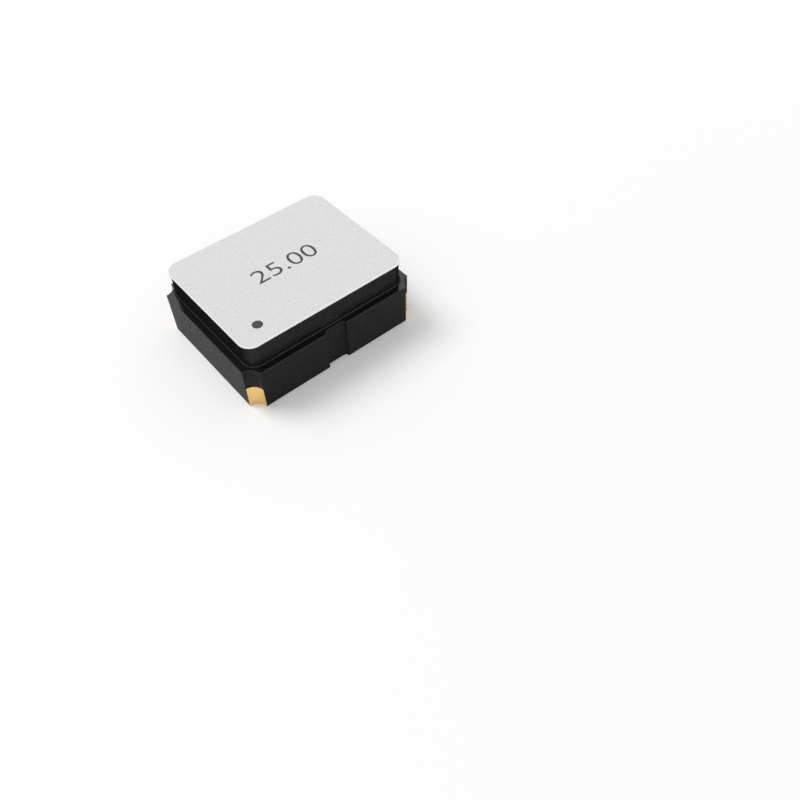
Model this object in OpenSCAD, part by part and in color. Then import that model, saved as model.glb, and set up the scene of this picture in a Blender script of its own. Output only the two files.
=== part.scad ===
// Crystal clock oscillator in a four-terminal ceramic package, 2.5 x 2.0 mm.
// The origin is at the middle of the underside, where the terminals meet the board.
// +X runs along the long side, away from the pin 1 end, and +Z points out of the lid.

/* [Body] */
// Length of the ceramic body
body_l = 2.5; // [2.4:0.05:3.2]
// Width of the ceramic body
body_w = 2.0; // [1.9:0.05:2.5]
// Height of the ceramic's top face above the board
base_h = 0.6; // [0.56:0.01:0.8]
// Radius of the quarter-round castellation at each corner
castellation_r = 0.15; // [0.11:0.01:0.17]
// Length of the shallow slot in each long side
notch_l = 0.3; // [0.2:0.01:0.6]
// Depth of that slot, which is also the radius of its ends
notch_depth = 0.05; // [0.03:0.005:0.065]

/* [Terminals] */
// Length of a terminal pad, along X
pad_l = 0.68; // [0.5:0.01:0.8]
// Width of a terminal pad, along Y
pad_w = 0.58; // [0.45:0.01:0.7]
// Ceramic left bare between a pad and the side of the body
pad_inset = 0.1; // [0.06:0.01:0.14]
// Length that the cut corner takes off the pin 1 pad
pin_one_cut = 0.3; // [0.15:0.01:0.4]
// Thickness of the plated metal
plating_t = 0.012; // [0.01:0.001:0.02]
// Height that the plating climbs up a castellation
plating_h = 0.31; // [0.2:0.01:0.45]

/* [Cavity] */
// Ceramic under the die pocket
floor_t = 0.2; // [0.15:0.01:0.24]
// Depth of the die pocket below the crystal's shelf
pocket_depth = 0.22; // [0.19:0.01:0.26]
// Bare ceramic left inside the seal ring, round the mouth of the cavity
mouth_step = 0.05; // [0.03:0.01:0.08]
// Width of the shelf that carries the crystal
mount_shelf_w = 0.3; // [0.25:0.01:0.36]
// Width of the shelf along the other three sides
side_shelf_w = 0.12; // [0.08:0.01:0.16]
// Radius of the cavity's upright corners
cavity_corner_r = 0.06; // [0.03:0.01:0.1]

/* [Seal ring and lid] */
// Ceramic left bare between the ring and the side of the body
ring_inset = 0.1; // [0.09:0.01:0.12]
// Wall of the ring
ring_wall = 0.2; // [0.15:0.01:0.22]
// Height of the lid's underside above the ceramic
ring_h = 0.315; // [0.2:0.005:0.4]
// Radius of the ring's outer corners
ring_corner_r = 0.155; // [0.12:0.005:0.2]
// Thickness of the braze under the ring
braze_t = 0.025; // [0.022:0.001:0.035]
// How far the braze stands out round the foot of the ring
braze_reach = 0.022; // [0.02:0.001:0.03]
// Radius that rounds the braze's outer edge
braze_edge_r = 0.018; // [0.01:0.001:0.02]
// Thickness of the lid
lid_t = 0.035; // [0.03:0.005:0.08]
// How far the lid stands out past the ring
lid_overhang = 0.015; // [0.01:0.001:0.02]
// Radius that rounds the lid's upper edge
lid_edge_r = 0.01; // [0.006:0.001:0.015]

/* [Pin 1 dot] */
// Radius of the dot
dot_r = 0.065; // [0.05:0.005:0.1]
// Depth of the dot in the lid
dot_depth = 0.006; // [0.004:0.001:0.01]
// Distance from the lid's short side to the dot's centre
dot_from_end = 0.335; // [0.2:0.01:0.5]
// Distance from the lid's long side to the dot's centre
dot_from_side = 0.27; // [0.2:0.01:0.4]

/* [Crystal] */
// Gap between the cavity's end and the blank's held end
blank_end_gap = 0.08; // [0.05:0.01:0.12]
// Gap between the blank's free end and the cavity's other end
blank_free_gap = 0.22; // [0.1:0.01:0.4]
// Gap between the blank's long sides and the cavity
blank_side_gap = 0.15; // [0.08:0.01:0.2]
// Thickness of the quartz blank
blank_t = 0.067; // [0.04:0.001:0.1]
// Quartz left bare between an electrode's plate and the blank's ends
electrode_end_margin = 0.325; // [0.28:0.005:0.4]
// Quartz left bare between an electrode's plate and the blank's long sides
electrode_side_margin = 0.175; // [0.13:0.005:0.25]
// Thickness of the electrode film
electrode_t = 0.005; // [0.003:0.001:0.008]
// Width of the lead that joins an electrode's plate to its adhesive dot
lead_w = 0.2; // [0.16:0.01:0.24]
// Radius of a dot of conductive adhesive
adhesive_r = 0.075; // [0.05:0.005:0.08]
// Height of a dot of conductive adhesive
adhesive_h = 0.03; // [0.02:0.005:0.05]
// Distance from the blank's held end to the edge of an adhesive dot
adhesive_inset = 0.01; // [0:0.005:0.03]
// Metal of a mounting pad past its adhesive dot, along X
mount_pad_margin_x = 0.03; // [0.01:0.005:0.04]
// Metal of a mounting pad past its adhesive dot, along Y
mount_pad_margin_y = 0.05; // [0.02:0.01:0.08]
// Distance from the blank's long side to an adhesive dot's centre
adhesive_from_side = 0.16; // [0.13:0.01:0.2]

/* [Die] */
// Length of the oscillator die
die_l = 0.95; // [0.8:0.05:1.1]
// Width of the oscillator die
die_w = 0.72; // [0.6:0.02:0.9]
// Thickness of the oscillator die
die_t = 0.12; // [0.1:0.01:0.14]
// Bumps along each long side of the die
bumps_in_row = 3; // [2:1:4]
// Radius of a bump
bump_r = 0.04; // [0.03:0.005:0.05]
// Height of a bump
bump_h = 0.025; // [0.015:0.005:0.035]
// Distance from the die's edge to the centre of a bump
bump_inset = 0.1; // [0.08:0.01:0.15]
// Side of the square bond pad under a bump
bond_pad_w = 0.14; // [0.12:0.01:0.18]
// Thickness of the metal pads inside the cavity
inner_pad_t = 0.01; // [0.008:0.001:0.015]

/* [Hidden] */
$fn = 64;

// Outer sizes of the ring and of what follows its outline
ring_l = body_l - 2 * ring_inset;
ring_w = body_w - 2 * ring_inset;
braze_l = ring_l + 2 * braze_reach;
braze_w = ring_w + 2 * braze_reach;
lid_l = ring_l + 2 * lid_overhang;
lid_w = ring_w + 2 * lid_overhang;
ring_top = base_h + ring_h;

// The mouth of the cavity and the pocket below it
mouth_l = ring_l - 2 * (ring_wall + mouth_step);
mouth_w = ring_w - 2 * (ring_wall + mouth_step);
pocket_l = mouth_l - mount_shelf_w - side_shelf_w;
pocket_w = mouth_w - 2 * side_shelf_w;
pocket_x = (mount_shelf_w - side_shelf_w) / 2;
floor_z = plating_t + floor_t;
shelf_z = floor_z + pocket_depth;

// The crystal on its two adhesive dots
blank_l = mouth_l - blank_end_gap - blank_free_gap;
blank_w = mouth_w - 2 * blank_side_gap;
held_end_x = -mouth_l / 2 + blank_end_gap;
blank_x = held_end_x + blank_l / 2;
electrode_l = blank_l - 2 * electrode_end_margin;
electrode_w = blank_w - 2 * electrode_side_margin;
adhesive_x = held_end_x + adhesive_inset + adhesive_r;
adhesive_y = blank_w / 2 - adhesive_from_side;
adhesive_z = shelf_z + inner_pad_t;
blank_z = adhesive_z + adhesive_h + electrode_t;
mount_pad_l = 2 * (adhesive_r + mount_pad_margin_x);
mount_pad_w = 2 * (adhesive_r + mount_pad_margin_y);

// The die, face down on its bumps
bump_z = floor_z + inner_pad_t;
die_z = bump_z + bump_h;
bump_pitch = (die_l - 2 * bump_inset) / (bumps_in_row - 1);
bump_row_y = die_w / 2 - bump_inset;
bump_count = 2 * bumps_in_row;

// How far a cut runs past the face it opens
past = 0.1;

// The signs of each corner, in pin order
PIN_CORNERS = [[-1, -1], [1, -1], [1, 1], [-1, 1]];

// ---- Shapes that several pieces share ----

// A rectangle with round corners
module round_rect(length, width, corner_r) {
    square([length - 2 * corner_r, width], center = true);
    square([length, width - 2 * corner_r], center = true);
    for (sx = [-1, 1], sy = [-1, 1])
        translate([sx * (length / 2 - corner_r), sy * (width / 2 - corner_r)])
            circle(corner_r);
}

// An upright block with round corners, standing on z = 0
module slab(length, width, corner_r, height) {
    linear_extrude(height) round_rect(length, width, corner_r);
}

// The end view of a slab whose two upper edges are round
module soft_section(length, height, edge_r) {
    translate([-length / 2, 0]) square([length, height - edge_r]);
    translate([-length / 2 + edge_r, 0]) square([length - 2 * edge_r, height]);
    for (side = [-1, 1])
        translate([side * (length / 2 - edge_r), height - edge_r])
            intersection() {
                circle(edge_r);
                translate([-edge_r, 0]) square([2 * edge_r, edge_r]);
            }
}

// A slab with round corners whose upper edge is round too
module soft_slab(length, width, corner_r, height, edge_r) {
    rotate([90, 0, 0])
        linear_extrude(width - 2 * corner_r, center = true)
            soft_section(length, height, edge_r);
    rotate([90, 0, 90])
        linear_extrude(length - 2 * corner_r, center = true)
            soft_section(width, height, edge_r);
    for (sx = [-1, 1], sy = [-1, 1])
        translate([sx * (length / 2 - corner_r), sy * (width / 2 - corner_r), 0])
            rotate_extrude()
                intersection() {
                    soft_section(2 * corner_r, height, edge_r);
                    square([corner_r, height]);
                }
}

// Puts its children at a corner of the body, with +X and +Y running inwards
module at_corner(signs) {
    translate([signs[0] * body_l / 2, signs[1] * body_w / 2, 0])
        mirror([signs[0] > 0 ? 1 : 0, 0, 0])
            mirror([0, signs[1] > 0 ? 1 : 0, 0])
                children();
}

// The opening through the braze and the ring
module ring_bore(height) {
    translate([0, 0, -past])
        slab(ring_l - 2 * ring_wall, ring_w - 2 * ring_wall, cavity_corner_r, height + 2 * past);
}

// A flat rectangular film or pad, centred on x and y, that stands on z
module film(centre, length, width, thickness) {
    translate([centre[0] - length / 2, centre[1] - width / 2, centre[2]])
        cube([length, width, thickness]);
}

// ---- The package ----

// The shallow slot with round ends that is cut down one long side
module side_notch() {
    end_x = notch_l / 2 - notch_depth;
    translate([0, 0, -past]) {
        for (sx = [-1, 1])
            translate([sx * end_x, 0, 0]) cylinder(r = notch_depth, h = base_h + 2 * past);
        translate([-end_x, -notch_depth, 0])
            cube([2 * end_x, 2 * notch_depth, base_h + 2 * past]);
    }
}

module ceramic_base() {
    color("#1c1b1d")
    difference() {
        translate([-body_l / 2, -body_w / 2, plating_t])
            cube([body_l, body_w, base_h - plating_t]);
        // Castellations, cut deeper below so that the plating lies flush
        for (corner = PIN_CORNERS)
            at_corner(corner) {
                translate([0, 0, -past]) cylinder(r = castellation_r, h = base_h + 2 * past);
                translate([0, 0, -past]) cylinder(r = castellation_r + plating_t, h = plating_h + past);
            }
        for (side = [-1, 1])
            translate([0, side * body_w / 2, 0]) side_notch();
        translate([0, 0, shelf_z])
            slab(mouth_l, mouth_w, cavity_corner_r, base_h - shelf_z + past);
        translate([pocket_x, 0, floor_z])
            slab(pocket_l, pocket_w, cavity_corner_r, pocket_depth + past);
    }
}

// A pad's outline, with the corner of the body at the origin: the pad, and
// the neck that runs out to the castellation at 45 degrees
module terminal_outline() {
    polygon([
        [0, 0],
        [castellation_r, 0],
        [castellation_r + pad_inset, pad_inset],
        [pad_inset + pad_l, pad_inset],
        [pad_inset + pad_l, pad_inset + pad_w],
        [pad_inset, pad_inset + pad_w],
        [pad_inset, castellation_r + pad_inset],
        [0, castellation_r]
    ]);
}

// What is cut from the pin 1 pad's inner corner, at 45 degrees
module pin_one_corner() {
    translate([pad_inset + pad_l, pad_inset + pad_w, 0])
        rotate([0, 0, 45])
            cube([pin_one_cut * sqrt(2), pin_one_cut * sqrt(2), 2 * past], center = true);
}

module terminal(pin) {
    color("#ecc47a")
    at_corner(PIN_CORNERS[pin - 1])
        difference() {
            union() {
                linear_extrude(plating_t) terminal_outline();
                intersection() {
                    cylinder(r = castellation_r + plating_t, h = plating_h);
                    cube([body_l / 2, body_w / 2, plating_h]);
                }
            }
            translate([0, 0, -past]) cylinder(r = castellation_r, h = plating_h + 2 * past);
            if (pin == 1) pin_one_corner();
        }
}

module braze_joint() {
    color("#222124")
    translate([0, 0, base_h])
        difference() {
            soft_slab(braze_l, braze_w, ring_corner_r + braze_reach, braze_t, braze_edge_r);
            ring_bore(braze_t);
        }
}

module seal_ring() {
    color("#1f1e20")
    translate([0, 0, base_h + braze_t])
        difference() {
            slab(ring_l, ring_w, ring_corner_r, ring_h - braze_t);
            ring_bore(ring_h);
        }
}

// Moves its children to the pin 1 dot, at the level of the lid's top face
module at_dot() {
    translate([-lid_l / 2 + dot_from_end, -lid_w / 2 + dot_from_side, ring_top + lid_t])
        children();
}

module lid() {
    color("#e4e2e4")
    difference() {
        translate([0, 0, ring_top])
            soft_slab(lid_l, lid_w, ring_corner_r + lid_overhang, lid_t, lid_edge_r);
        at_dot() translate([0, 0, -dot_depth]) cylinder(r = dot_r, h = dot_depth + past);
    }
}

module pin_one_mark() {
    color("#555355")
    at_dot() translate([0, 0, -dot_depth]) cylinder(r = dot_r, h = dot_depth);
}

// ---- The crystal ----

module quartz_blank() {
    color("#dfe9ee")
    film([blank_x, 0, blank_z], blank_l, blank_w, blank_t);
}

// An electrode as it lies flat: its plate, and the lead that runs from the
// held end along the blank's +Y side and turns in to meet the plate
module electrode_outline() {
    plate_x = held_end_x + electrode_end_margin;
    plate_y = electrode_w / 2;
    turn_x = plate_x - lead_w / 2;
    turn_y = plate_y - lead_w / 2;
    lead_low = adhesive_y - lead_w / 2;
    lead_high = adhesive_y + lead_w / 2;
    polygon([
        [held_end_x, lead_low],
        [turn_x, lead_low],
        [turn_x, turn_y],
        [plate_x, turn_y],
        [plate_x, -plate_y],
        [plate_x + electrode_l, -plate_y],
        [plate_x + electrode_l, plate_y],
        [plate_x, plate_y],
        [plate_x, lead_high],
        [held_end_x, lead_high]
    ]);
}

module electrode_film() {
    linear_extrude(electrode_t) electrode_outline();
}

// The metal that wraps round the held end of the blank, seen from the side:
// its upper limb lies in the film on top, and its lower one on the dot
module end_wrap() {
    limb = adhesive_inset + 2 * adhesive_r;
    height = blank_t + 2 * electrode_t;
    translate([held_end_x - electrode_t, adhesive_y + lead_w / 2, blank_z - electrode_t])
        rotate([90, 0, 0])
            linear_extrude(lead_w)
                difference() {
                    square([limb + electrode_t, height]);
                    translate([electrode_t, electrode_t]) square([limb + past, blank_t]);
                }
}

// The upper electrode reaches its dot round the end of the blank
module electrode_top() {
    color("#d8b45a") {
        translate([0, 0, blank_z + blank_t]) electrode_film();
        end_wrap();
    }
}

// The lower electrode's lead runs along the other side, to the other dot
module electrode_bottom() {
    color("#d8b45a")
    translate([0, 0, blank_z - electrode_t])
        mirror([0, 1, 0])
            electrode_film();
}

// Dot 1 feeds the upper electrode, along +Y, and dot 2 the lower one
function dot_side(dot) = dot == 1 ? 1 : -1;

module adhesive_dot(dot) {
    color("#a9a9a4")
    translate([adhesive_x, dot_side(dot) * adhesive_y, adhesive_z])
        cylinder(r = adhesive_r, h = adhesive_h);
}

module mount_pad(dot) {
    color("#ecc47a")
    film([adhesive_x, dot_side(dot) * adhesive_y, shelf_z],
         mount_pad_l, mount_pad_w, inner_pad_t);
}

// ---- The die ----

module oscillator_die() {
    color("#4a4d58")
    film([pocket_x, 0, die_z], die_l, die_w, die_t);
}

// The place of a bump: the first row runs along -Y and the second along +Y
function bump_place(bump) =
    let (row = floor((bump - 1) / bumps_in_row), step = (bump - 1) % bumps_in_row)
    [pocket_x - die_l / 2 + bump_inset + step * bump_pitch, (2 * row - 1) * bump_row_y];

module die_bump(bump) {
    color("#e0b656")
    translate([bump_place(bump)[0], bump_place(bump)[1], bump_z])
        cylinder(r = bump_r, h = bump_h);
}

module bond_pad(bump) {
    color("#ecc47a")
    film([bump_place(bump)[0], bump_place(bump)[1], floor_z], bond_pad_w, bond_pad_w, inner_pad_t);
}

// ---- The whole part ----

ceramic_base();
for (pin = [1:4])
    terminal(pin);
braze_joint();
seal_ring();
lid();
pin_one_mark();
quartz_blank();
electrode_top();
electrode_bottom();
for (dot = [1:2]) {
    adhesive_dot(dot);
    mount_pad(dot);
}
oscillator_die();
for (bump = [1:bump_count]) {
    die_bump(bump);
    bond_pad(bump);
}
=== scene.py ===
"""Looks of a crystal clock oscillator in a 2.5 x 2.0 mm ceramic package.

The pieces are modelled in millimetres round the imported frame, in the frame's own
axes, and turned to metres when they are finished.
"""

import math

import bmesh
import bpy
from mathutils import Matrix, Vector


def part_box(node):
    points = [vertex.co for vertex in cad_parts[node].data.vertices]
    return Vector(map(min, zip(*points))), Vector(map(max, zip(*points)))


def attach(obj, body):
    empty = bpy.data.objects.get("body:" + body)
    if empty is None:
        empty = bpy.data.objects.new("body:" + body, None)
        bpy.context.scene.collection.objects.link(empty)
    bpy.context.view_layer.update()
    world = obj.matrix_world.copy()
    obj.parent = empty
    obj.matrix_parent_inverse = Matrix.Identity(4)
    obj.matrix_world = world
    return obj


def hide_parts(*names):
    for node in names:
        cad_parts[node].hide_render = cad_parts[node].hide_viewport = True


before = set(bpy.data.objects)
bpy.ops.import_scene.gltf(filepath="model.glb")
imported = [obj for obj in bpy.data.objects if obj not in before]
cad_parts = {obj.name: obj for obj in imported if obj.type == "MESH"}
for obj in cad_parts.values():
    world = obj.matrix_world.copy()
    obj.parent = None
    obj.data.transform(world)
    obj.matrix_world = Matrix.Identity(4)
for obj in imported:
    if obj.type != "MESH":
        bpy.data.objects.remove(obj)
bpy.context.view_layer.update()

MM = 0.001
BODY = "root"

# ---- Sizes in mm that a node's box doesn't give ----

# Ceramic base and its cavity
CASTELLATION_R = 0.15
NOTCH_L = 0.3
NOTCH_DEPTH = 0.05
FLOOR_T = 0.2
POCKET_DEPTH = 0.22
SHELF_W = 0.12
CRYSTAL_SHELF_W = 0.3
MOUTH_STEP = 0.05
BORE_CORNER_R = 0.06

# Terminals
PAD_L = 0.68
PAD_W = 0.58
PAD_INSET = 0.1
PIN_ONE_CUT = 0.3
PLATING_T = 0.012
# The plating stops this many degrees short of a castellation's walls, and keeps its full thickness the
# longer, the higher the power is
PLATING_STOP = 1.5
PLATING_POWER = 8

# Ring, braze and lid
RING_WALL = 0.2
RING_CORNER_R = 0.155
BRAZE_EDGE_R = 0.018
LID_EDGE_R = 0.01
# The height of the band at the foot of the lid's side that is painted nearly black as a shadow line between
# the lid and the ring
LID_SHADOW_LINE_H = 0.008

# Marks on the lid, whose upper face lies a little below the nickel
NUMBER = "25.00"
NUMBER_H = 0.24
NUMBER_L = 0.9
NUMBER_MIDDLE = (0.01, 0.01)
MARK_DEPTH = 0.003
MARK_BELOW = 0.0005

# In shares of the number's type size: what a stroke gains on each side, and the distance at which its
# points merge, so that a stroke which touches itself is closed
STROKE_GAIN = -0.007
STROKE_MERGE = 0.003

# Edges that tumbling, firing and plating leave slightly round
CERAMIC_EDGE_R = 0.005
METAL_EDGE_R = 0.003
PAD_RIM_R = 0.0015

# How far a cutter reaches past the ceramic and past the lid
CUT_PAST = 0.1
LID_CUT_PAST = 0.01

# Points closer than this are one where two meshes are sewn together
SEAM = 0.0001

# The axis that the wheel turned about when it ground the die's back
WHEEL_AXIS = (-20.0, -30.0)

# ---- Steps, angles and slopes ----

# Steps of a quarter circle on an outline and on a round edge, of a softened edge and a pad's rim, and
# of each curve of the number
ARC_STEPS = 24
EDGE_STEPS = 6
SOFT_STEPS = 3
RIM_STEPS = 2
STROKE_STEPS = 12

# In degrees: edges above the first are softened, and those above the second are shaded sharp
SOFT_ANGLE = 35
CREASE_ANGLE = 50

# How far a face's normal points up or down, from 0 to 1, on an upright, a half tilted and a flat face
UPRIGHT = 0.05
HALF_TILTED = 0.5
FLAT = 0.99

# The signs of each corner of the body, in pin order
PIN_CORNERS = {1: (-1, -1), 2: (1, -1), 3: (1, 1), 4: (-1, 1)}

# ---- Stage: sizes and places in mm, angles in degrees ----

FLOOR_HALF = 120.0
# The paper keeps its shadow up to the first distance from the origin, and is plain white past the second
SHADOW_REACH = 4.0
PLAIN_PAST = 16.0
# What the lens sees added to the paper, as a share of white
PAPER_LIFT = 0.2
# The sky's share of white as a light, and how much darker than white it is mirrored from straight above
AMBIENT = 0.5
OVERHEAD_DIM = 0.12
# The lamp's level is how bright the lamp itself looks, whatever its size
KEY_FROM = (-28.0, 52.0, 85.0)
KEY_SIZE = 50.0
KEY_LEVEL = 7.4
CAMERA_AT = (-3.55, -6.40, 7.17)
CAMERA_ELEVATION = 51.08
CAMERA_HEADING = 39.96
CAMERA_ROLL = -0.84
CLIP_NEAR = 0.5
CLIP_FAR = 400.0
LENS = 34.4


# ---- Small helpers ----


def box_mm(node):
    """A CAD node's lowest and highest corners, in mm."""
    low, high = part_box(node)
    return low / MM, high / MM


def add_node(tree, kind, inputs=(), **settings):
    """Adds a node to a tree, with its settings. An input is a value, another node's socket or a list of
    such sockets."""
    node = tree.nodes.new(kind)
    for setting, value in settings.items():
        setattr(node, setting, value)
    for socket, value in dict(inputs).items():
        for source in value if isinstance(value, list) else [value]:
            if isinstance(source, bpy.types.NodeSocket):
                tree.links.new(source, node.inputs[socket])
            else:
                node.inputs[socket].default_value = source
    return node


def linear(hex_colour):
    """An sRGB hex colour as linear RGBA."""
    channels = [int(hex_colour[i:i + 2], 16) / 255 for i in (1, 3, 5)]
    return (*[c / 12.92 if c <= 0.04045 else ((c + 0.055) / 1.055) ** 2.4 for c in channels], 1.0)


# ---- Patterns, each as a shade from 0 to 1 and a height from 0 to about 1 ----


def per_metre(size_mm):
    """The scale that gives a pattern features of that size."""
    return 1 / (size_mm * MM)


def grit(tree, place, size_mm):
    """Irregular grit, from the given size down to a sixteenth of it."""
    noise = add_node(tree, "ShaderNodeTexNoise", {
        "Vector": place, "Scale": per_metre(size_mm), "Detail": 4.0, "Roughness": 0.7})
    # Most of the noise lies between these two values
    shade = add_node(tree, "ShaderNodeMapRange", {
        "Value": noise.outputs["Fac"], "From Min": 0.3, "From Max": 0.7}).outputs["Result"]
    return shade, shade


def crystals(tree, place, size_mm):
    """Grains side by side, each with a shade of its own, and higher at its border than in its middle."""
    cells = add_node(tree, "ShaderNodeTexVoronoi", {"Vector": place, "Scale": per_metre(size_mm)})
    shade = add_node(tree, "ShaderNodeSeparateColor", {"Color": cells.outputs["Color"]}).outputs["Red"]
    return shade, cells.outputs["Distance"]


def wheel_marks(tree, place, spacing_mm):
    """The slightly uneven arcs that a grinding wheel leaves, round an axis well beside the part."""
    # The distance between the texture's rings at a scale of 1
    ring = math.tau / 20
    about_axis = add_node(tree, "ShaderNodeMapping", {
        "Vector": place, "Location": (-WHEEL_AXIS[0] * MM, -WHEEL_AXIS[1] * MM, 0)})
    arcs = add_node(tree, "ShaderNodeTexWave", {
        "Vector": about_axis.outputs["Vector"], "Scale": ring * per_metre(spacing_mm),
        "Distortion": 1.5, "Detail": 2.0}, wave_type="RINGS", rings_direction="Z").outputs["Fac"]
    return arcs, arcs


# ---- Materials ----


def start_material(name):
    """An empty material, its tree and the object's own coordinates."""
    material = bpy.data.materials.new(name)
    material.use_nodes = True
    tree = material.node_tree
    tree.nodes.clear()
    place = add_node(tree, "ShaderNodeTexCoord").outputs["Object"]
    return material, tree, place


def finish(name, pattern, size_mm, height_mm, looks):
    """A material from one pattern, which stands out by height_mm. Each look is one value for the whole
    surface, or a pair of values that it moves between with the pattern, and a colour is given as hex."""
    material, tree, place = start_material(name)
    shade, height = pattern(tree, place, size_mm)
    inputs = {}
    for socket, look in looks.items():
        low, high = look if isinstance(look, tuple) else (look, look)
        is_colour = isinstance(low, str)
        if is_colour:
            low, high = linear(low), linear(high)
        if low == high:
            inputs[socket] = low
        elif is_colour:
            inputs[socket] = add_node(tree, "ShaderNodeMix", {
                "Factor": shade, "A": low, "B": high}, data_type="RGBA").outputs["Result"]
        else:
            inputs[socket] = add_node(tree, "ShaderNodeMapRange", {
                "Value": shade, "To Min": low, "To Max": high}).outputs["Result"]
    if height_mm:
        inputs["Normal"] = add_node(tree, "ShaderNodeBump", {
            "Height": height, "Distance": height_mm * MM}).outputs["Normal"]
    shader = add_node(tree, "ShaderNodeBsdfPrincipled", inputs).outputs["BSDF"]
    add_node(tree, "ShaderNodeOutputMaterial", {"Surface": shader})
    return material


def fired_black_alumina():
    """Black alumina as it leaves the kiln, on the flat top and underside: smooth enough to mirror the ring
    and the sky softly. Its grain of about 5 micrometres is drawn at 12 so that it shows."""
    return finish("fired_black_alumina", crystals, 0.012, 0.0001, {
        "Base Color": ("#141213", "#211f20"),
        "Roughness": (0.13, 0.18),
        "IOR": 1.76,
        "Specular IOR Level": (0.4, 0.47)})


def snapped_black_alumina():
    """Black alumina where the parts were snapped out of their sheet, on the upright sides: rougher and
    duller than the fired faces. Its grain of about 5 micrometres is drawn at 10 so that it shows."""
    return finish("snapped_black_alumina", crystals, 0.01, 0.0003, {
        "Base Color": ("#050405", "#2c292a"),
        "Roughness": (0.27, 0.8),
        "IOR": 1.76,
        "Specular IOR Level": (0.045, 0.11)})


def black_nickel():
    """Black nickel plate on the pressed ring and its braze: a satin black with a soft sheen. Its grit of a
    few micrometres is drawn at 14 so that it shows."""
    return finish("black_nickel_plate", grit, 0.014, 0.0002, {
        "Base Color": ("#141212", "#494747"),
        "Metallic": 0.8,
        "Roughness": (0.38, 0.48),
        "Specular IOR Level": 0.0,
        "Specular Tint": "#666666"})


def satin_nickel():
    """Electroplated satin nickel on the rolled lid: pale, even and softly reflecting. Its grit of a few
    micrometres is drawn at 14 so that it shows."""
    return finish("satin_nickel_plate", grit, 0.014, 0.0002, {
        "Base Color": ("#d3d1d2", "#fffdfe"),
        "Metallic": 1.0,
        "Roughness": (0.3, 0.4)})


def burnished_nickel_and_highlight():
    """The same nickel on the lid's round edge, which the stamping die has burnished smoother than the flat.
    Its colour is painted lighter than the flat's as a painted highlight, so that it draws a thin pale line
    round the lid. The grit left in it has no height."""
    return finish("burnished_nickel_painted_highlight", grit, 0.014, 0, {
        "Base Color": ("#f0eeef", "#fffefe"),
        "Metallic": 1.0,
        "Roughness": (0.15, 0.22)})


def painted_shadow_alloy():
    """Painted shade on the lower part of the lid's edge: metal painted dull and nearly black as a shadow
    line, so that a thin dark line parts the lid from the ring. Its fine grain is drawn at 14 micrometres."""
    return finish("painted_shadow_line_alloy", grit, 0.014, 0.0006, {
        "Base Color": ("#0e0d0d", "#201d1c"),
        "Metallic": 1.0,
        "Roughness": (0.5, 0.65),
        "Specular Tint": "#555555"})


def matte_gold():
    """Electroplated soft gold over nickel and fired tungsten: warm, and matte because the tungsten below
    is a sintered paste. The paste's grain of a few micrometres is drawn at 14 so that it shows."""
    return finish("matte_gold_plate", grit, 0.014, 0.0004, {
        "Base Color": ("#e7c077", "#ffdc98"),
        "Metallic": 1.0,
        "Roughness": (0.38, 0.5)})


def laser_mark():
    """Nickel that a laser has oxidised to a matte dark grey, as an overlapping stipple, whose fine texture
    is drawn at 12 micrometres."""
    return finish("laser_oxidised_nickel", grit, 0.012, 0.00024, {
        "Base Color": ("#4a484a", "#5c5a5c"),
        "Roughness": 0.7,
        "IOR": 1.5,
        "Specular IOR Level": 0.2})


def lapped_quartz():
    """Quartz blank lapped and etched: clear, with a faint frost from the lapping grit, which is drawn at
    10 micrometres."""
    return finish("lapped_quartz", grit, 0.01, 0.00012, {
        "Base Color": "#eef5f8",
        "Transmission Weight": 0.85,
        "IOR": 1.54,
        "Roughness": (0.12, 0.2)})


def evaporated_gold():
    """Gold evaporated on the blank: a thin bright film that shows the frost of the quartz below it."""
    return finish("evaporated_gold_film", grit, 0.01, 0.00008, {
        "Base Color": ("#e8bd63", "#f0c870"),
        "Metallic": 1.0,
        "Roughness": (0.16, 0.24)})


def silver_adhesive():
    """Cured adhesive full of silver flakes of about 8 micrometres: pale grey and dull, with flakes that
    glint."""
    return finish("silver_filled_adhesive", crystals, 0.008, 0.001, {
        "Base Color": ("#9a9a94", "#c9c9c4"),
        "Metallic": 0.6,
        "Roughness": (0.35, 0.65)})


def ground_silicon():
    """The ground back of the silicon die: blue-grey and half bright, with the grinding wheel's arcs. They
    lie a few micrometres apart and are drawn at 19 so that they show."""
    return finish("ground_silicon", wheel_marks, 0.019, 0.0003, {
        "Base Color": ("#5d6070", "#6c7080"),
        "Metallic": 1.0,
        "Roughness": (0.3, 0.42)})


# ---- Outlines, as points (x, y) in mm ----


def arc(centre, radius, start, end, steps=ARC_STEPS):
    """Points along an arc between two angles in degrees, with both ends."""
    angles = [math.radians(start + (end - start) * i / steps) for i in range(steps + 1)]
    return [(centre[0] + radius * math.cos(a), centre[1] + radius * math.sin(a)) for a in angles]


def round_rect(length, width, corner_r):
    """The outline of a rectangle with round corners, anticlockwise round the origin."""
    points = []
    for sx, sy, start in ((1, 1, 0), (-1, 1, 90), (-1, -1, 180), (1, -1, 270)):
        centre = (sx * (length / 2 - corner_r), sy * (width / 2 - corner_r))
        points += arc(centre, corner_r, start, start + 90)
    return points


def round_edge(length, width, corner_r, top_z, edge_r):
    """Outlines, each with its z, that lead from the upright sides of a plate to its top in a quarter
    circle."""
    outlines = []
    for step in range(EDGE_STEPS + 1):
        angle = math.radians(90 * step / EDGE_STEPS)
        inset = edge_r * (1 - math.cos(angle))
        outline = round_rect(length - 2 * inset, width - 2 * inset, corner_r - inset)
        outlines.append((outline, top_z - edge_r * (1 - math.sin(angle))))
    return outlines


# ---- Shapes, which stay scratch objects in mm until they are handed over ----


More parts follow.
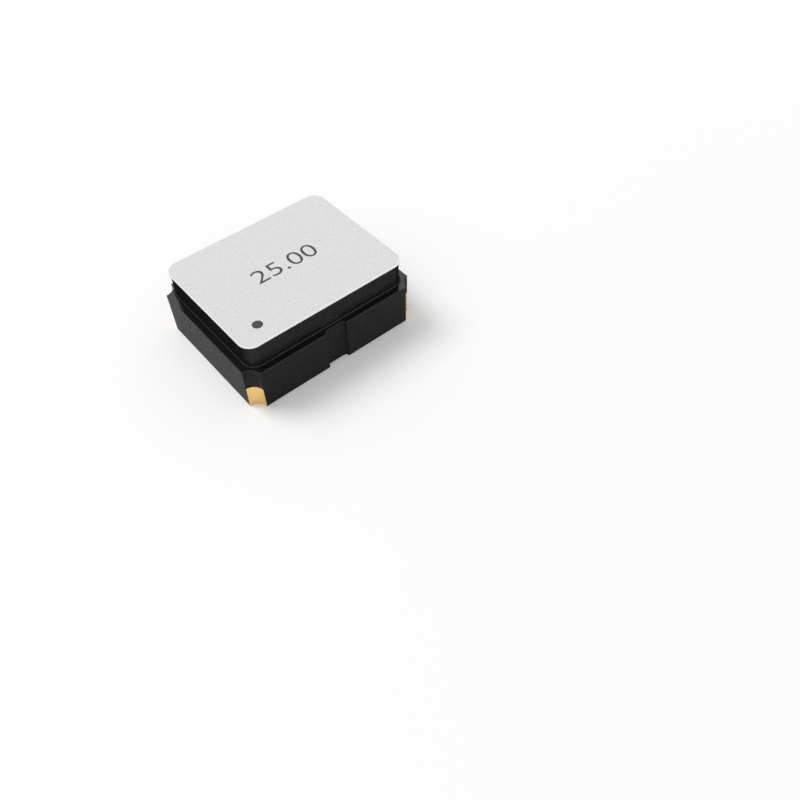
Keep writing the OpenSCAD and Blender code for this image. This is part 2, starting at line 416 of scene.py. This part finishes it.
def loft(outlines, closed=False):
    """A skin over outlines of as many points each, given as (points, z) from the underside up.
    It is capped at both ends, or, if closed, the last outline meets the first."""
    bm = bmesh.new()
    rings = [[bm.verts.new((x, y, z)) for x, y in points] for points, z in outlines]
    above = rings[1:] + rings[:1] if closed else rings[1:]
    for lower, upper in zip(rings, above):
        for i in range(len(lower)):
            j = (i + 1) % len(lower)
            bm.faces.new((lower[i], lower[j], upper[j], upper[i]))
    if not closed:
        bm.faces.new(reversed(rings[0]))
        bm.faces.new(rings[-1])
    bmesh.ops.recalc_face_normals(bm, faces=bm.faces)
    return bm


def prism(outline, low, high):
    """A skin that keeps one outline from a low z to a high one."""
    return loft([(outline, low), (outline, high)])


def rough_object(name, bm):
    """A scratch object from a bmesh, which is freed."""
    mesh = bpy.data.meshes.new(name)
    bm.to_mesh(mesh)
    bm.free()
    rough = bpy.data.objects.new(name, mesh)
    bpy.context.scene.collection.objects.link(rough)
    return rough


def bake(rough):
    """Turns the modifiers into the plain mesh that they give."""
    shape = rough.evaluated_get(bpy.context.evaluated_depsgraph_get())
    mesh = bpy.data.meshes.new_from_object(shape)
    rough.modifiers.clear()
    rough.data = mesh


def combine(rough, tool, operation):
    """Adds a scratch object to another or cuts it away, and removes it."""
    modifier = rough.modifiers.new(operation.title(), "BOOLEAN")
    modifier.operation = operation
    modifier.solver = "EXACT"
    modifier.object = tool
    bake(rough)
    bpy.data.objects.remove(tool)


def soften(rough, radius):
    """Rounds the sharp edges."""
    bevel = rough.modifiers.new("Soft edges", "BEVEL")
    bevel.width = radius
    bevel.segments = SOFT_STEPS
    bevel.limit_method = "ANGLE"
    bevel.angle_limit = math.radians(SOFT_ANGLE)
    bevel.use_clamp_overlap = True
    bake(rough)


def hand_over(rough, name):
    """Makes a scratch object a piece of the part, in metres."""
    rough.data.transform(Matrix.Scale(MM, 4))
    rough.data.name = name
    rough.name = name
    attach(rough, BODY)


def finish_piece(rough, name, node, material=None):
    """Shades a scratch object, with its flats flat and its rounds round, and hands it over in place of a
    CAD node. No material is given where the faces have theirs already."""
    for polygon in rough.data.polygons:
        polygon.use_smooth = True
    rough.data.set_sharp_from_angle(angle=math.radians(CREASE_ANGLE))
    weighted = rough.modifiers.new("Even shading", "WEIGHTED_NORMAL")
    weighted.keep_sharp = True
    bake(rough)
    if material is not None:
        rough.data.materials.append(material)
    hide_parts(node)
    hand_over(rough, name)


# ---- Geometry Nodes ----


def start_tree(name, kinds):
    """A geometry tree with a named input of each kind. Returns the tree, the identifiers of its inputs by
    name, and their sockets inside it."""
    tree = bpy.data.node_groups.new(name, "GeometryNodeTree")
    identifiers = {}
    for label, kind in kinds.items():
        socket = tree.interface.new_socket(label, in_out="INPUT", socket_type="NodeSocket" + kind)
        identifiers[label] = socket.identifier
    tree.interface.new_socket("Geometry", in_out="OUTPUT", socket_type="NodeSocketGeometry")
    return tree, identifiers, add_node(tree, "NodeGroupInput").outputs


def raise_sheet(tree, sheet, height, merge):
    """Raises a flat mesh by a height, and closes it below with the same mesh turned over."""
    raised = add_node(tree, "GeometryNodeExtrudeMesh", {
        "Mesh": sheet, "Offset Scale": height, "Individual": False}, mode="FACES")
    underside = add_node(tree, "GeometryNodeFlipFaces", {"Mesh": sheet})
    whole = add_node(tree, "GeometryNodeJoinGeometry", {
        "Geometry": [underside.outputs["Mesh"], raised.outputs["Mesh"]]})
    return add_node(tree, "GeometryNodeMergeByDistance", {
        "Geometry": whole.outputs["Geometry"], "Distance": merge}).outputs["Geometry"]


def end_tree(tree, shape, material):
    """Ends a tree in a plain mesh of one material."""
    real = add_node(tree, "GeometryNodeRealizeInstances", {"Geometry": shape})
    painted = add_node(tree, "GeometryNodeSetMaterial", {
        "Geometry": real.outputs["Geometry"], "Material": material})
    add_node(tree, "NodeGroupOutput", {"Geometry": painted.outputs["Geometry"]})


def grow(name, tree, identifiers, values):
    """A scratch object whose mesh is what a geometry tree makes from these values."""
    rough = rough_object(name, bmesh.new())
    modifier = rough.modifiers.new(tree.name, "NODES")
    modifier.node_group = tree
    for label, value in values.items():
        modifier[identifiers[label]] = value
    bake(rough)
    return rough


def ring_tree():
    """Geometry nodes that press the ring out of sheet: two rectangles with round corners, filled between
    and raised to the ring's height."""
    tree, identifiers, given = start_tree("pressed_ring", {
        "Length": "Float", "Width": "Float", "Corner Radius": "Float",
        "Bore Length": "Float", "Bore Width": "Float", "Bore Radius": "Float",
        "Base Height": "Float", "Height": "Float", "Arc Steps": "Int", "Material": "Material"})
    outlines = []
    for length, width, radius in (("Length", "Width", "Corner Radius"),
                                  ("Bore Length", "Bore Width", "Bore Radius")):
        sharp = add_node(tree, "GeometryNodeCurvePrimitiveQuadrilateral", {
            "Width": given[length], "Height": given[width]})
        outline = add_node(tree, "GeometryNodeFilletCurve", {
            "Curve": sharp.outputs["Curve"], "Radius": given[radius], "Count": given["Arc Steps"]},
            mode="POLY")
        outlines.append(outline.outputs["Curve"])
    both = add_node(tree, "GeometryNodeJoinGeometry", {"Geometry": outlines})
    sheet = add_node(tree, "GeometryNodeFillCurve", {"Curve": both.outputs["Geometry"]}, mode="TRIANGLES")
    pressed = raise_sheet(tree, sheet.outputs["Mesh"], given["Height"], SEAM)
    lift = add_node(tree, "ShaderNodeCombineXYZ", {"Z": given["Base Height"]})
    placed = add_node(tree, "GeometryNodeTransform", {
        "Geometry": pressed, "Translation": lift.outputs["Vector"]})
    end_tree(tree, placed.outputs["Geometry"], given["Material"])
    return tree, identifiers


def number_tree():
    """Geometry nodes that set a number in plain strokes and give it a depth."""
    tree, identifiers, given = start_tree("marked_number", {
        "Number": "String", "Type Size": "Float", "Stroke Gain": "Float", "Depth": "Float",
        "Material": "Material"})
    strokes = add_node(tree, "GeometryNodeStringToCurves", {
        "String": given["Number"], "Size": given["Type Size"]}, align_x="CENTER", align_y="MIDDLE")
    loose = add_node(tree, "GeometryNodeRealizeInstances", {"Geometry": strokes.outputs["Curve Instances"]})
    smooth = add_node(tree, "GeometryNodeSetSplineResolution", {
        "Geometry": loose.outputs["Geometry"], "Resolution": STROKE_STEPS})
    outline = add_node(tree, "GeometryNodeResampleCurve", {
        "Curve": smooth.outputs["Geometry"]}, mode="EVALUATED")
    outwards = add_node(tree, "GeometryNodeInputNormal").outputs["Normal"]
    gain = add_node(tree, "ShaderNodeVectorMath", {"Vector": outwards, "Scale": given["Stroke Gain"]},
                    operation="SCALE")
    fine = add_node(tree, "GeometryNodeSetPosition", {
        "Geometry": outline.outputs["Curve"], "Offset": gain.outputs["Vector"]})
    flat = add_node(tree, "GeometryNodeFillCurve", {"Curve": fine.outputs["Geometry"]}, mode="TRIANGLES")
    solid = raise_sheet(tree, flat.outputs["Mesh"], given["Depth"], STROKE_MERGE)
    end_tree(tree, solid, given["Material"])
    return tree, identifiers


# ---- The package ----


def body_outline(low, high):
    """The ceramic's outline seen from above, with its castellations and the slot in each long side."""
    notch_end = NOTCH_L / 2 - NOTCH_DEPTH
    notch_steps = ARC_STEPS // 2
    points = []
    points += arc((low.x, low.y), CASTELLATION_R, 90, 0)
    points += arc((-notch_end, low.y), NOTCH_DEPTH, 180, 90, notch_steps)
    points += arc((notch_end, low.y), NOTCH_DEPTH, 90, 0, notch_steps)
    points += arc((high.x, low.y), CASTELLATION_R, 180, 90)
    points += arc((high.x, high.y), CASTELLATION_R, 270, 180)
    points += arc((notch_end, high.y), NOTCH_DEPTH, 0, -90, notch_steps)
    points += arc((-notch_end, high.y), NOTCH_DEPTH, 270, 180, notch_steps)
    points += arc((low.x, high.y), CASTELLATION_R, 360, 270)
    return points


def plating_back():
    """The back of the plating in a castellation, round the corner at the origin: full thickness in the
    middle and feathered out just before it reaches the two walls."""
    points = []
    for i in range(ARC_STEPS + 1):
        across = 2 * i / ARC_STEPS - 1
        angle = math.radians(45 + across * (45 - PLATING_STOP))
        radius = CASTELLATION_R + PLATING_T * (1 - across ** PLATING_POWER)
        points.append((radius * math.cos(angle), radius * math.sin(angle)))
    return points


def at_corner(rough, pin, body_high):
    """Moves a scratch object made round the origin's positive corner to the corner of a pin."""
    sx, sy = PIN_CORNERS[pin]
    corner = Matrix.Translation((sx * body_high.x, sy * body_high.y, 0))
    rough.data.transform(corner @ Matrix.Diagonal((-sx, -sy, 1, 1)))
    if sx * sy < 0:
        rough.data.flip_normals()


def ring_bore(ring_low, ring_high):
    """The length and width of the opening in the seal ring."""
    return ring_high.x - ring_low.x - 2 * RING_WALL, ring_high.y - ring_low.y - 2 * RING_WALL


def ceramic_base(fired, snapped):
    """One co-fired block, with the mouth under the lid, the pocket for the die and a groove for the
    plating in each castellation."""
    low, high = box_mm("ceramic_base")
    bore_l, bore_w = ring_bore(*box_mm("seal_ring"))
    plating_top = box_mm("terminal_1")[1].z
    mouth_l = bore_l - 2 * MOUTH_STEP
    mouth_w = bore_w - 2 * MOUTH_STEP
    floor_z = low.z + FLOOR_T
    shelf_z = floor_z + POCKET_DEPTH
    mouth = round_rect(mouth_l, mouth_w, BORE_CORNER_R)
    pocket_x = (CRYSTAL_SHELF_W - SHELF_W) / 2
    pocket = round_rect(mouth_l - CRYSTAL_SHELF_W - SHELF_W, mouth_w - 2 * SHELF_W, BORE_CORNER_R)
    pocket = [(x + pocket_x, y) for x, y in pocket]
    base = rough_object("base", prism(body_outline(low, high), low.z, high.z))
    combine(base, rough_object("mouth", prism(mouth, shelf_z, high.z + CUT_PAST)), "DIFFERENCE")
    combine(base, rough_object("pocket", prism(pocket, floor_z, shelf_z + CUT_PAST)), "DIFFERENCE")
    soften(base, CERAMIC_EDGE_R)
    groove_outline = plating_back() + [(-CUT_PAST, -CUT_PAST)]
    for pin in PIN_CORNERS:
        groove = rough_object("groove", prism(groove_outline, low.z - CUT_PAST, plating_top))
        at_corner(groove, pin, high)
        combine(base, groove, "DIFFERENCE")
    base.data.materials.append(fired)
    base.data.materials.append(snapped)
    for polygon in base.data.polygons:
        polygon.material_index = 0 if abs(polygon.normal.z) > HALF_TILTED else 1
    finish_piece(base, "ceramic_base_dressed", "ceramic_base")


def terminal(pin, gold):
    """A pad, its neck, and the plating that climbs the castellation, as one skin of metal."""
    node = f"terminal_{pin}"
    low, high = box_mm(node)
    body_high = box_mm("ceramic_base")[1]
    reach_x = PAD_INSET + PAD_L
    reach_y = PAD_INSET + PAD_W
    neck = CASTELLATION_R + PAD_INSET
    inner_corner = [(reach_x, reach_y)]
    if pin == 1:
        inner_corner = [(reach_x, reach_y - PIN_ONE_CUT), (reach_x - PIN_ONE_CUT, reach_y)]
    pad = [(neck, PAD_INSET), (reach_x, PAD_INSET), *inner_corner, (PAD_INSET, reach_y), (PAD_INSET, neck)]
    face = arc((0, 0), CASTELLATION_R, 90 - PLATING_STOP, PLATING_STOP)
    bm = prism([*pad, (0, CASTELLATION_R), *face, (CASTELLATION_R, 0)], low.z, low.z + PLATING_T)
    # The rim on the castellation's arc stays sharp, so that the climbing plating meets it point for point
    rim = [edge for edge in bm.edges if max(vert.co.xy.length for vert in edge.verts) > neck]
    bmesh.ops.bevel(bm, geom=rim, offset=PAD_RIM_R, segments=RIM_STEPS, profile=0.5, affect="EDGES",
                    clamp_overlap=True)
    metal = rough_object("pad", bm)
    shell = plating_back() + face[1:-1]
    combine(metal, rough_object("shell", prism(shell, low.z, high.z)), "UNION")
    at_corner(metal, pin, body_high)
    finish_piece(metal, f"{node}_plated", node, gold)


def braze_joint(black):
    """The braze under the ring, with the round bead that it leaves round the ring's foot."""
    low, high = box_mm("braze_joint")
    ring_low, ring_high = box_mm("seal_ring")
    length, width = high.x - low.x, high.y - low.y
    corner_r = RING_CORNER_R + high.x - ring_high.x
    bore = round_rect(*ring_bore(ring_low, ring_high), BORE_CORNER_R)
    outlines = [(bore, low.z), (round_rect(length, width, corner_r), low.z)]
    outlines += round_edge(length, width, corner_r, high.z, BRAZE_EDGE_R)
    outlines.append((bore, high.z))
    bead = rough_object("bead", loft(outlines, closed=True))
    finish_piece(bead, "braze_bead", "braze_joint", black)


def seal_ring(black):
    """The ring that the lid is sealed to, pressed out of sheet."""
    low, high = box_mm("seal_ring")
    bore_l, bore_w = ring_bore(low, high)
    tree, identifiers = ring_tree()
    ring = grow("ring", tree, identifiers, {
        "Length": high.x - low.x, "Width": high.y - low.y, "Corner Radius": RING_CORNER_R,
        "Bore Length": bore_l, "Bore Width": bore_w, "Bore Radius": BORE_CORNER_R,
        "Base Height": low.z, "Height": high.z - low.z, "Arc Steps": ARC_STEPS, "Material": black})
    soften(ring, METAL_EDGE_R)
    finish_piece(ring, "seal_ring_pressed", "seal_ring")


def marked_number(name, depth, top_z, mark):
    """The number as a thin solid whose upper face lies at top_z, scaled to its height and length."""
    tree, identifiers = number_tree()
    number = grow(name, tree, identifiers, {
        "Number": NUMBER, "Type Size": 1.0, "Stroke Gain": STROKE_GAIN, "Depth": 1.0, "Material": mark})
    corners = [Vector(corner) for corner in number.bound_box]
    low = Vector([min(corner[i] for corner in corners) for i in range(3)])
    high = Vector([max(corner[i] for corner in corners) for i in range(3)])
    size = high - low
    to_middle = Matrix.Translation(-(low + high) / 2)
    scale = Matrix.Diagonal((NUMBER_L / size.x, NUMBER_H / size.y, depth / size.z, 1))
    place = Matrix.Translation((*NUMBER_MIDDLE, top_z - depth / 2))
    number.data.transform(place @ scale @ to_middle)
    return number


def lid(nickel, burnished_and_highlight, shadow_line, mark):
    """The stamped plate, sunk for its marks, with the dot at pin 1 and the number as pieces of their own."""
    low, high = box_mm("lid")
    ring_high = box_mm("seal_ring")[1]
    dot_low, dot_high = box_mm("pin_one_mark")
    length, width = high.x - low.x, high.y - low.y
    corner_r = RING_CORNER_R + high.x - ring_high.x
    shadow_line_top = low.z + LID_SHADOW_LINE_H
    side = round_rect(length, width, corner_r)
    outlines = [(side, low.z), (side, shadow_line_top)]
    outlines += round_edge(length, width, corner_r, high.z, LID_EDGE_R)
    plate = rough_object("plate", loft(outlines))
    dot_r = (dot_high.x - dot_low.x) / 2
    dot_middle = (dot_low + dot_high) / 2
    dot_steps = 4 * ARC_STEPS
    dot_outline = arc(dot_middle, dot_r, 0, 360 - 360 / dot_steps, dot_steps - 1)
    cut_top = high.z + LID_CUT_PAST
    combine(plate, rough_object("dot_cut", prism(dot_outline, dot_low.z, cut_top)), "DIFFERENCE")
    combine(plate, marked_number("number_cut", MARK_DEPTH + LID_CUT_PAST, cut_top, mark), "DIFFERENCE")
    # The number's cutter has left its own material on the plate
    plate.data.materials.clear()
    plate.data.materials.append(nickel)
    plate.data.materials.append(burnished_and_highlight)
    plate.data.materials.append(shadow_line)
    for polygon in plate.data.polygons:
        # The round edge takes the burnished nickel, whose lighter colour is a painted highlight
        on_highlight_edge = polygon.center.z > high.z - LID_EDGE_R and UPRIGHT < polygon.normal.z < FLAT
        # The lowest band of the side takes the nearly black painted shadow line
        on_shadow_line = polygon.center.z < shadow_line_top and abs(polygon.normal.z) < UPRIGHT
        polygon.material_index = 1 if on_highlight_edge else 2 if on_shadow_line else 0
    finish_piece(plate, "lid_plated", "lid")

    mark_top = high.z - MARK_BELOW
    dot = rough_object("dot", prism(dot_outline, dot_low.z, mark_top))
    finish_piece(dot, "pin_one_dot", "pin_one_mark", mark)
    number = marked_number("number", MARK_DEPTH - MARK_BELOW, mark_top, mark)
    hand_over(number, "lid_number")


# ---- Inside the cavity ----


def dress_inside(gold):
    """Gives the CAD nodes inside the cavity their finishes, and leaves their meshes alone."""
    film = evaporated_gold()
    finishes = {"quartz_blank": lapped_quartz(), "electrode": film, "adhesive_dot": silver_adhesive(),
                "mount_pad": gold, "oscillator_die": ground_silicon(), "die_bump": film, "bond_pad": gold}
    for name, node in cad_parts.items():
        for start, material in finishes.items():
            if name.startswith(start):
                for slot in node.material_slots:
                    slot.material = material


# ---- Stage ----


def white_rays(tree):
    """1 for what the lens sees straight, mirrored or through glass, and 0 for light, also where metal
    passes the light on to a dull surface."""
    path = add_node(tree, "ShaderNodeLightPath").outputs
    mirrored = add_node(tree, "ShaderNodeMath", {
        0: path["Is Camera Ray"], 1: path["Is Glossy Ray"]}, operation="MAXIMUM")
    seen = add_node(tree, "ShaderNodeMath", {
        0: mirrored.outputs["Value"], 1: path["Is Transmission Ray"]}, operation="MAXIMUM")
    # The diffuse depth is 0 up to the first dull surface, and 1 or more past it
    before_dull = add_node(tree, "ShaderNodeMath", {
        0: path["Diffuse Depth"], 1: 0.5}, operation="LESS_THAN")
    return add_node(tree, "ShaderNodeMath", {
        0: seen.outputs["Value"], 1: before_dull.outputs["Value"]}, operation="MULTIPLY").outputs["Value"]


def stage_floor():
    """White paper that keeps the part's soft shadow, and turns to plain white away from the part."""
    bm = bmesh.new()
    bmesh.ops.create_grid(bm, x_segments=1, y_segments=1, size=FLOOR_HALF * MM)
    floor = rough_object("floor", bm)
    material, tree, place = start_material("matte_white_paper")
    paper = add_node(tree, "ShaderNodeBsdfDiffuse", {"Color": linear("#f0f0f0")}).outputs["BSDF"]
    white = white_rays(tree)
    lift = add_node(tree, "ShaderNodeMath", {0: white, 1: PAPER_LIFT}, operation="MULTIPLY")
    glow = add_node(tree, "ShaderNodeEmission", {"Strength": lift.outputs["Value"]})
    near = add_node(tree, "ShaderNodeAddShader", {0: paper, 1: glow.outputs["Emission"]})
    plain = add_node(tree, "ShaderNodeEmission", {"Strength": 1.0})
    far = add_node(tree, "ShaderNodeMixShader", {0: white, 1: paper, 2: plain.outputs["Emission"]})
    distance = add_node(tree, "ShaderNodeVectorMath", {0: place}, operation="LENGTH")
    away = add_node(tree, "ShaderNodeMapRange", {
        "Value": distance.outputs["Value"], "From Min": SHADOW_REACH * MM, "From Max": PLAIN_PAST * MM})
    surface = add_node(tree, "ShaderNodeMixShader", {
        0: away.outputs["Result"], 1: near.outputs["Shader"], 2: far.outputs["Shader"]})
    add_node(tree, "ShaderNodeOutputMaterial", {"Surface": surface.outputs["Shader"]})
    floor.data.materials.append(material)


def stage_world():
    """A white sky for the lens, a little darker overhead where it is mirrored, and dimmer as a light."""
    world = bpy.data.worlds.new("studio")
    bpy.context.scene.world = world
    world.use_nodes = True
    tree = world.node_tree
    tree.nodes.clear()
    path = add_node(tree, "ShaderNodeLightPath").outputs
    direction = add_node(tree, "ShaderNodeTexCoord").outputs["Generated"]
    height = add_node(tree, "ShaderNodeSeparateXYZ", {"Vector": direction}).outputs["Z"]
    mirrored = add_node(tree, "ShaderNodeMapRange", {
        "Value": height, "To Min": 1.0, "To Max": 1.0 - OVERHEAD_DIM}).outputs["Result"]
    seen = add_node(tree, "ShaderNodeMix", {
        "Factor": path["Is Camera Ray"], "A": mirrored, "B": 1.0}, data_type="FLOAT").outputs["Result"]
    level = add_node(tree, "ShaderNodeMapRange", {
        "Value": white_rays(tree), "To Min": AMBIENT, "To Max": seen}).outputs["Result"]
    sky = add_node(tree, "ShaderNodeBackground", {"Color": (1, 1, 1, 1), "Strength": level})
    add_node(tree, "ShaderNodeOutputWorld", {"Surface": sky.outputs["Background"]})


def stage_lamp():
    """A square soft box that faces the part. The metal doesn't mirror it, so that it leaves no bright
    patch on the lid."""
    side = KEY_SIZE * MM
    lamp = bpy.data.lights.new("key", "AREA")
    lamp.size = side
    lamp.energy = KEY_LEVEL * math.pi * side ** 2
    stand = bpy.data.objects.new("key", lamp)
    bpy.context.scene.collection.objects.link(stand)
    stand.location = Vector(KEY_FROM) * MM
    stand.rotation_euler = (-Vector(KEY_FROM)).to_track_quat("-Z", "Y").to_euler()
    stand.visible_glossy = False


def stage_camera():
    """A camera that looks down at the lid from the left and the front, with pin 1 nearest to it."""
    lens = bpy.data.cameras.new("camera")
    lens.lens = LENS
    lens.clip_start = CLIP_NEAR * MM
    lens.clip_end = CLIP_FAR * MM
    camera = bpy.data.objects.new("camera", lens)
    bpy.context.scene.collection.objects.link(camera)
    camera.location = Vector(CAMERA_AT) * MM
    turn = (Matrix.Rotation(-math.radians(CAMERA_HEADING), 4, "Z")
            @ Matrix.Rotation(math.radians(90 - CAMERA_ELEVATION), 4, "X")
            @ Matrix.Rotation(math.radians(CAMERA_ROLL), 4, "Z"))
    camera.rotation_euler = turn.to_euler()
    bpy.context.scene.camera = camera


# ---- The part and its stage ----

gold = matte_gold()
black = black_nickel()
ceramic_base(fired_black_alumina(), snapped_black_alumina())
for pin in PIN_CORNERS:
    terminal(pin, gold)
braze_joint(black)
seal_ring(black)
lid(satin_nickel(), burnished_nickel_and_highlight(), painted_shadow_alloy(), laser_mark())
dress_inside(gold)

stage_floor()
stage_world()
stage_lamp()
stage_camera()
bpy.context.scene.view_settings.view_transform = "Standard"
